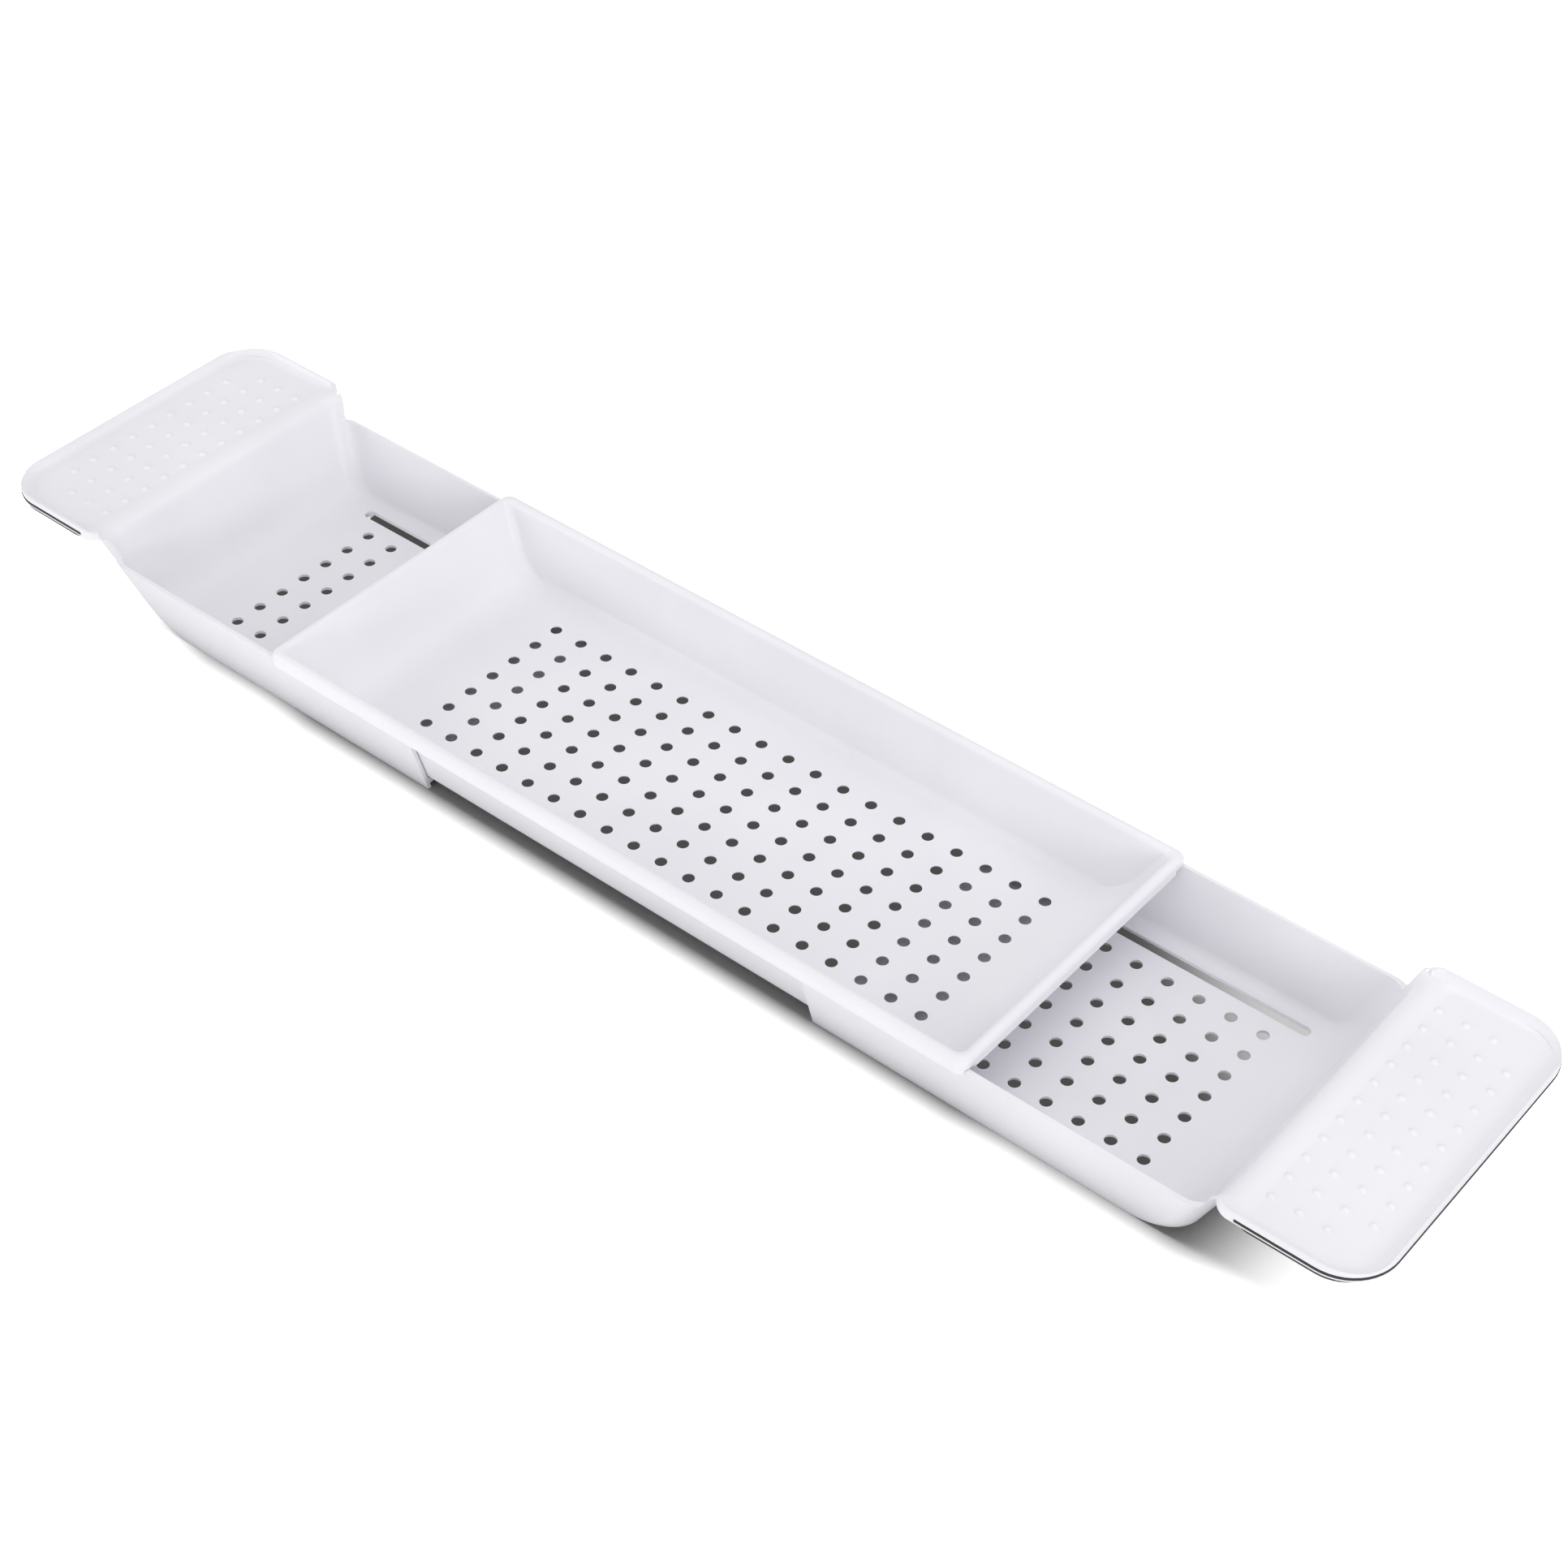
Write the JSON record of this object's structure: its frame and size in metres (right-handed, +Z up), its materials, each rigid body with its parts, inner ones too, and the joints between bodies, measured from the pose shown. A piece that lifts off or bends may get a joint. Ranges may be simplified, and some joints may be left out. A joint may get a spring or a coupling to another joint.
{
  "type": "bath caddy",
  "caption": "Extending bath caddy: a perforated centre tray, perforated end trays that slide under it, and a shallow bumped wing at each end that rests on the bath.",
  "frame": {"origin": "on the feet's level, under the middle of the centre tray", "axes": "+X along the caddy to the right-hand wing, +Y across it to the back, +Z up"},
  "size_m": [0.8146, 0.1734, 0.056],
  "materials": {
    "tray_plastic": "satin",
    "stud_plastic": "satin",
    "edge_rubber": "matte",
    "pad_rubber": "matte"
  },
  "bodies": {
    "centre": {"centre_tray": "tray_plastic", "left_front_slide_stud": "stud_plastic", "left_rear_slide_stud": "stud_plastic", "right_front_slide_stud": "stud_plastic", "right_rear_slide_stud": "stud_plastic"},
    "left_end": {"left_tray": "tray_plastic", "left_edge_strip": "edge_rubber", "left_grip_pad": "pad_rubber"},
    "right_end": {"right_tray": "tray_plastic", "right_edge_strip": "edge_rubber", "right_grip_pad": "pad_rubber"}
  },
  "joints": [
    {"name": "left_slide", "type": "slide", "parent": "centre", "child": "left_end", "axis": [1, 0, 0], "range_m": [0, 0.113]},
    {"name": "right_slide", "type": "slide", "parent": "centre", "child": "right_end", "axis": [-1, 0, 0], "range_m": [0, 0.113]}
  ]
}
